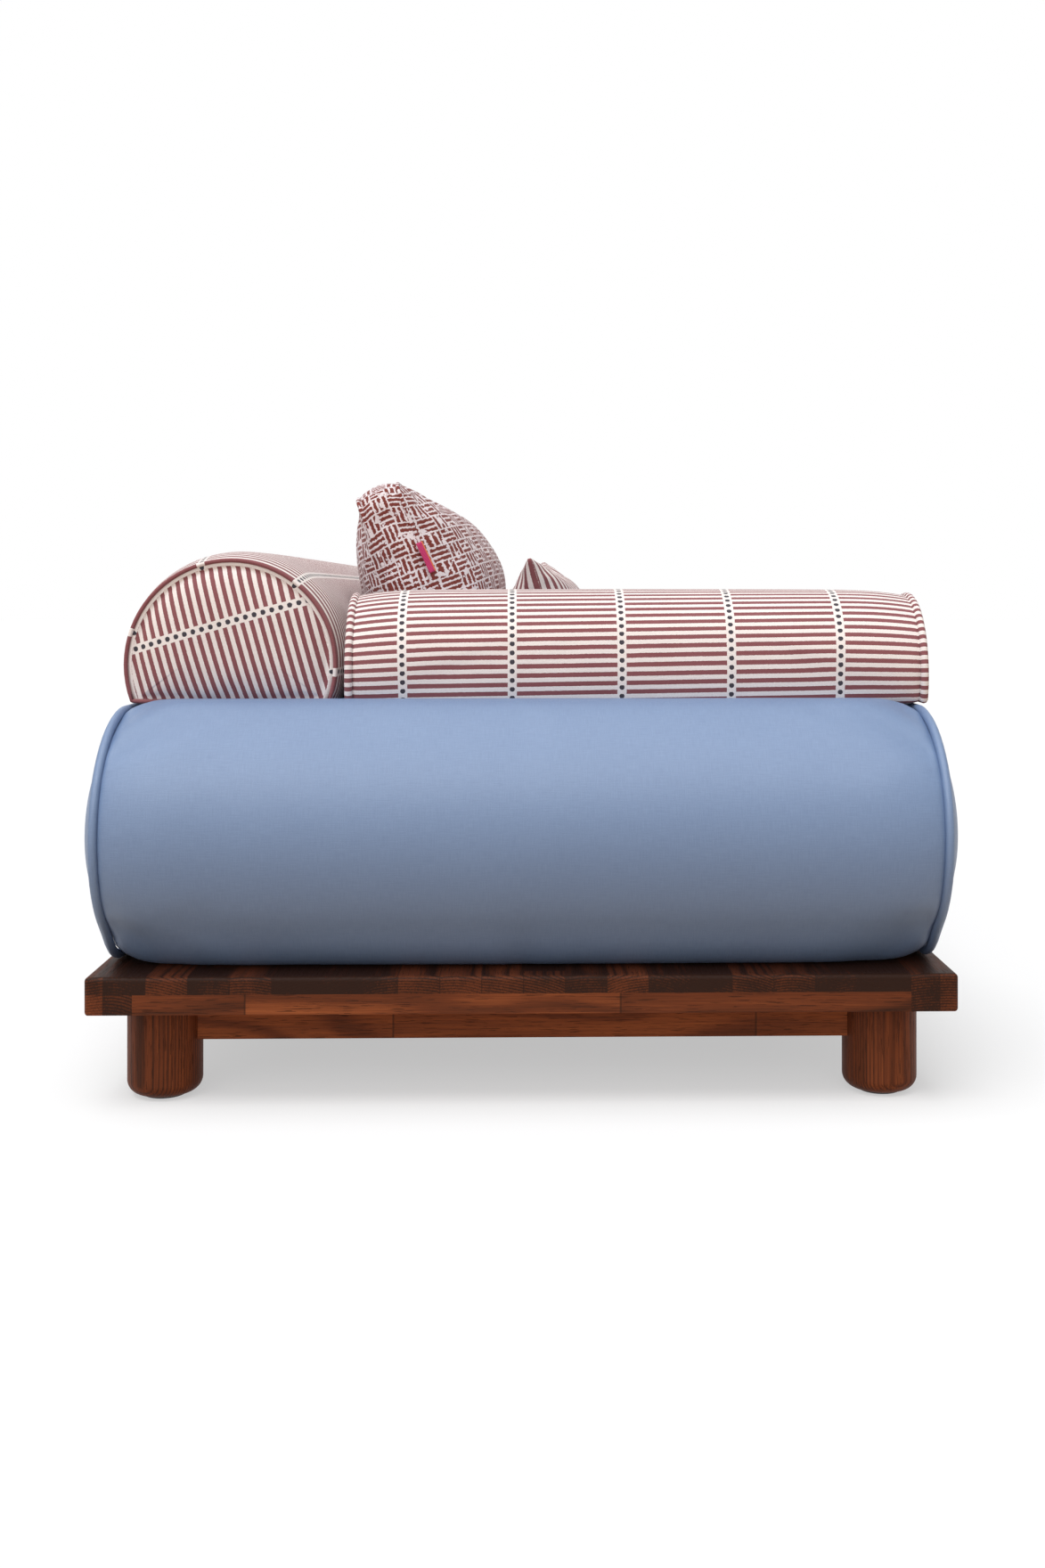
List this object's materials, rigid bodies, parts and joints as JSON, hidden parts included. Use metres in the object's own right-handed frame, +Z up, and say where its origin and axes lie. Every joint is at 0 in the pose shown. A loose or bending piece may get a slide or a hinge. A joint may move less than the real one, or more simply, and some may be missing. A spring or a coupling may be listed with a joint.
{
  "type": "outdoor sofa",
  "caption": "Low outdoor sofa: hardwood platform on round legs, thick round-ended seat cushion, striped back and arm bolsters and loose pillows.",
  "frame": {"origin": "floor under the middle of the sofa", "axes": "+X along the sofa, -Y to the front, +Z up"},
  "size_m": [2.18, 1.018, 0.7452],
  "materials": {
    "oiled_hardwood": "oiled",
    "glide": "matte",
    "bolt_steel": "zinc plated",
    "blue_fabric": "woven outdoor fabric",
    "striped_fabric": "striped woven outdoor fabric",
    "patterned_fabric": "patterned woven outdoor fabric",
    "tab_fabric": "ribbed tape"
  },
  "bodies": {
    "platform": {"leg_front_left": "oiled_hardwood", "leg_front_right": "oiled_hardwood", "leg_back_left": "oiled_hardwood", "leg_back_right": "oiled_hardwood", "front_rail": "oiled_hardwood", "back_rail": "oiled_hardwood", "end_cleat_left": "oiled_hardwood", "end_cleat_right": "oiled_hardwood", "deck_plank_1": "oiled_hardwood", "deck_plank_2": "oiled_hardwood", "deck_plank_3": "oiled_hardwood", "deck_plank_4": "oiled_hardwood", "deck_plank_5": "oiled_hardwood", "deck_plank_6": "oiled_hardwood", "bearer_1": "oiled_hardwood", "bearer_2": "oiled_hardwood", "bearer_3": "oiled_hardwood", "end_apron_left": "oiled_hardwood", "end_apron_right": "oiled_hardwood", "front_apron": "oiled_hardwood", "back_apron": "oiled_hardwood", "foot_glides": "glide", "leg_bolts": "bolt_steel"},
    "seat": {"seat_cushion": "blue_fabric", "seat_piping_front": "blue_fabric", "seat_piping_back": "blue_fabric"},
    "back_rest": {"back_bolster": "striped_fabric", "back_bolster_piping": "striped_fabric"},
    "left_arm": {"arm_bolster_left": "striped_fabric", "arm_bolster_left_piping": "striped_fabric"},
    "right_arm": {"arm_bolster_right": "striped_fabric", "arm_bolster_right_piping": "striped_fabric"},
    "large_pillow": {"large_pillow": "patterned_fabric", "pillow_tab": "tab_fabric"},
    "small_pillow": {"small_pillow": "striped_fabric"}
  },
  "joints": [
    {"name": "seat_lift", "type": "slide", "parent": "platform", "child": "seat", "axis": [0, 0, 1], "range_m": [0, 0.25]},
    {"name": "back_lift", "type": "slide", "parent": "seat", "child": "back_rest", "axis": [0, 0, 1], "range_m": [0, 0.2]},
    {"name": "left_arm_lift", "type": "slide", "parent": "seat", "child": "left_arm", "axis": [0, 0, 1], "range_m": [0, 0.2]},
    {"name": "right_arm_lift", "type": "slide", "parent": "seat", "child": "right_arm", "axis": [0, 0, 1], "range_m": [0, 0.2]},
    {"name": "large_pillow_lift", "type": "slide", "parent": "back_rest", "child": "large_pillow", "axis": [0, 0, 1], "range_m": [0, 0.2]},
    {"name": "small_pillow_lift", "type": "slide", "parent": "large_pillow", "child": "small_pillow", "axis": [0, -0.6, 0.8], "range_m": [0, 0.15]}
  ]
}
